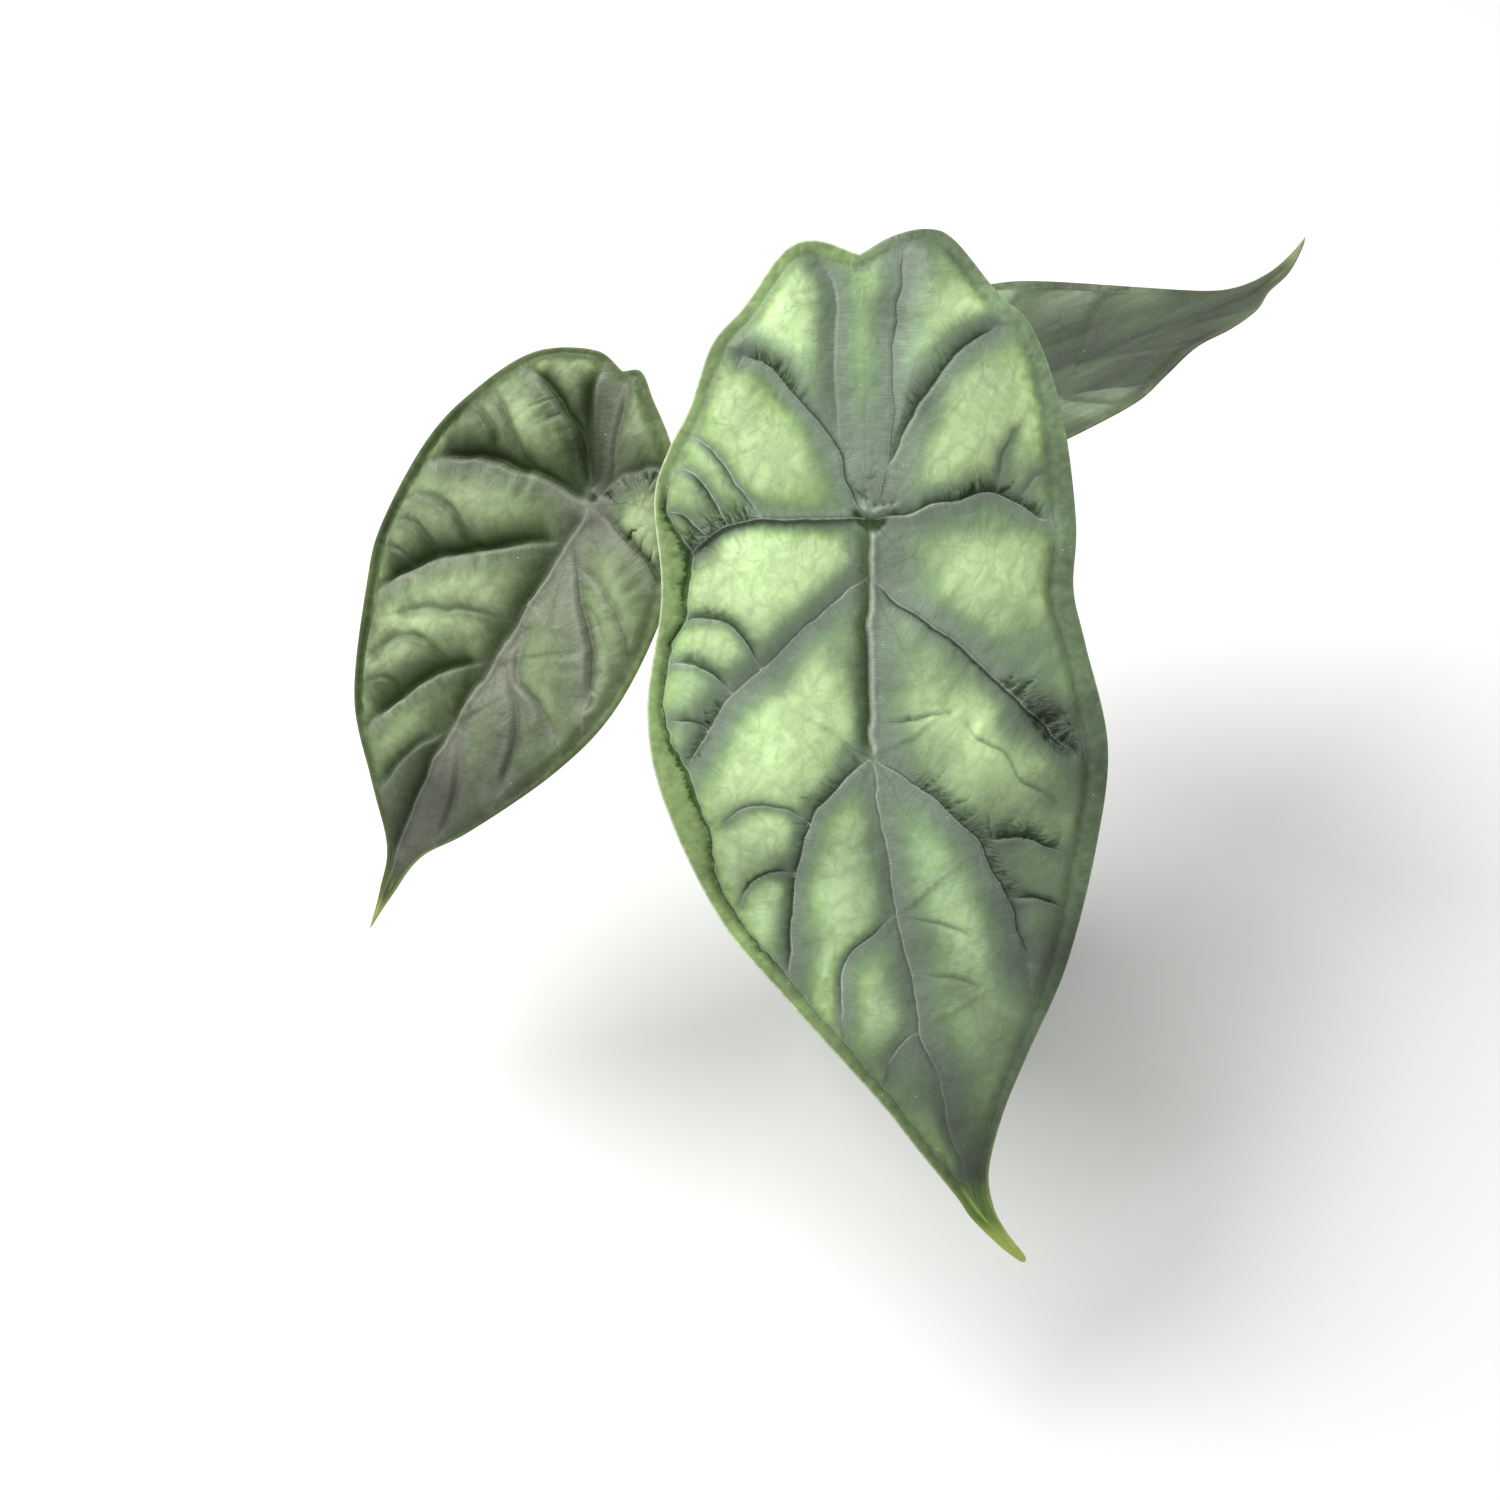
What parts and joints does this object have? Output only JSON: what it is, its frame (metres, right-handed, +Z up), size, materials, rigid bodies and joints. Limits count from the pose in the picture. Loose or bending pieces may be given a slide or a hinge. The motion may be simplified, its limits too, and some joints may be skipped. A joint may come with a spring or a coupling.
{
  "type": "potted plant",
  "caption": "Aroid house plant in a small round nursery pot: shield-shaped, deeply quilted blades on stalks from one corm, half buried in potting mix.",
  "frame": {"origin": "centre of the pot's flat underside, on the surface it stands on", "axes": "+Z up along the pot's axis, -Y towards the plant's front where the largest blade faces, +X to that viewer's right"},
  "size_m": [0.2273, 0.2387, 0.1989],
  "materials": {
    "pot": "satin",
    "potting_mix": "rough",
    "corm": "rough",
    "bract": "matte",
    "stalk": "satin",
    "blade_front": "satin",
    "blade_left": "satin",
    "blade_right": "satin"
  },
  "bodies": {
    "root": {"pot": "pot", "potting_mix": "potting_mix", "corm": "corm", "sheath_front": "bract", "sheath_rear": "bract", "petiole_front": "stalk", "petiole_left": "stalk", "petiole_right": "stalk", "leaf_front": "blade_front", "leaf_left": "blade_left", "leaf_right": "blade_right"}
  },
  "joints": []
}
